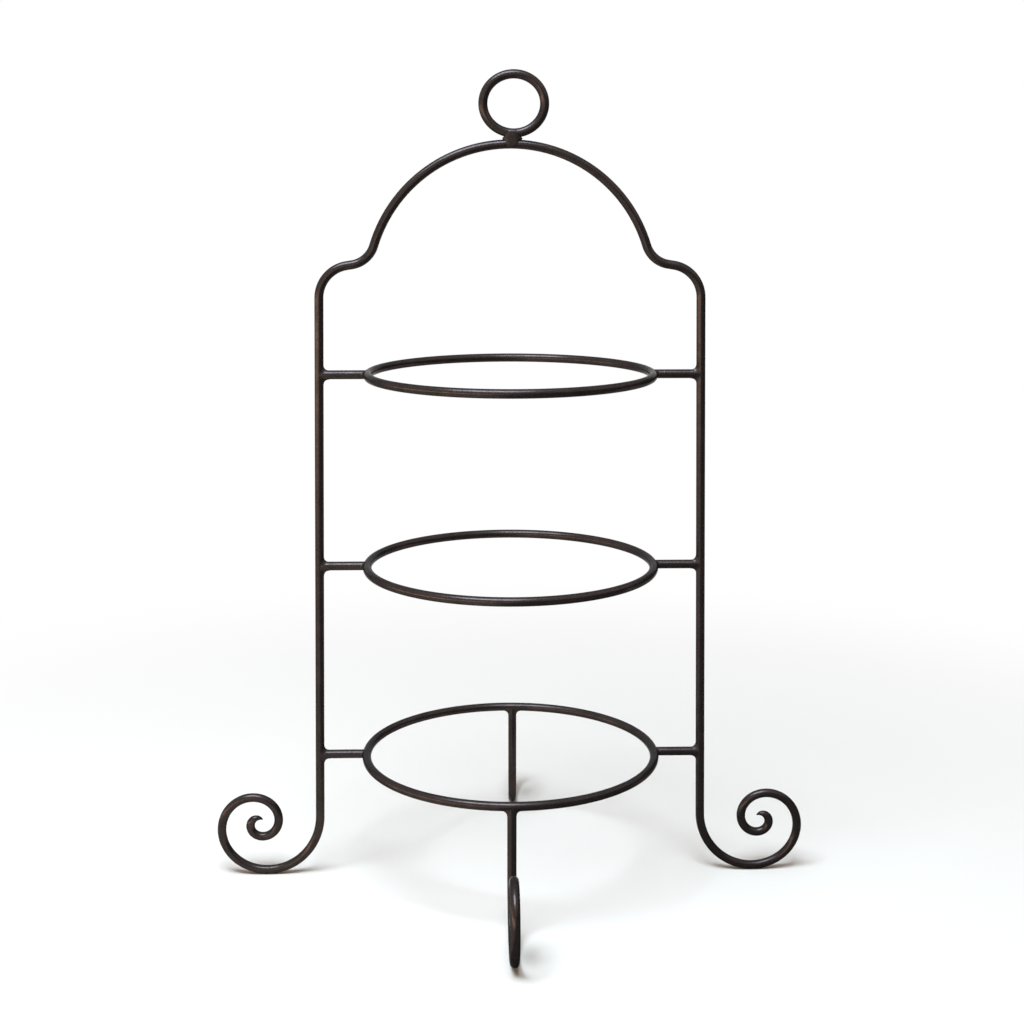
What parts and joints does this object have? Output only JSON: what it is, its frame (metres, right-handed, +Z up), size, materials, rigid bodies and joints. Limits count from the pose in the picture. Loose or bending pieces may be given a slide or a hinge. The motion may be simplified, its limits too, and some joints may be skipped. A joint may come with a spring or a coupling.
{
  "type": "plate rack",
  "caption": "Free-standing tiered plate rack of bent round iron rod: arched frame with scroll feet, plate rings on short arms and a carry ring on top.",
  "frame": {"origin": "on the table, under the middle of the rack", "axes": "+Z up, +X to the right along the frame's plane, -Y to the front, where the front leg points"},
  "size_m": [0.4324, 0.3617, 0.5832],
  "materials": {
    "rod_paint": "satin bronze-black coat over round iron rod",
    "weld_paint": "the same coat over uneven weld metal, a little duller"
  },
  "bodies": {
    "root": {"frame_rod": "rod_paint", "carry_ring": "rod_paint", "lower_plate_ring": "rod_paint", "middle_plate_ring": "rod_paint", "upper_plate_ring": "rod_paint", "lower_left_arm": "rod_paint", "lower_right_arm": "rod_paint", "middle_left_arm": "rod_paint", "middle_right_arm": "rod_paint", "upper_left_arm": "rod_paint", "upper_right_arm": "rod_paint", "front_leg": "rod_paint", "back_leg": "rod_paint", "carry_ring_weld": "weld_paint", "lower_left_upright_weld": "weld_paint", "lower_left_ring_weld": "weld_paint", "lower_right_upright_weld": "weld_paint", "lower_right_ring_weld": "weld_paint", "middle_left_upright_weld": "weld_paint", "middle_left_ring_weld": "weld_paint", "middle_right_upright_weld": "weld_paint", "middle_right_ring_weld": "weld_paint", "upper_left_upright_weld": "weld_paint", "upper_left_ring_weld": "weld_paint", "upper_right_upright_weld": "weld_paint", "upper_right_ring_weld": "weld_paint", "front_leg_weld": "weld_paint", "back_leg_weld": "weld_paint"}
  },
  "joints": []
}
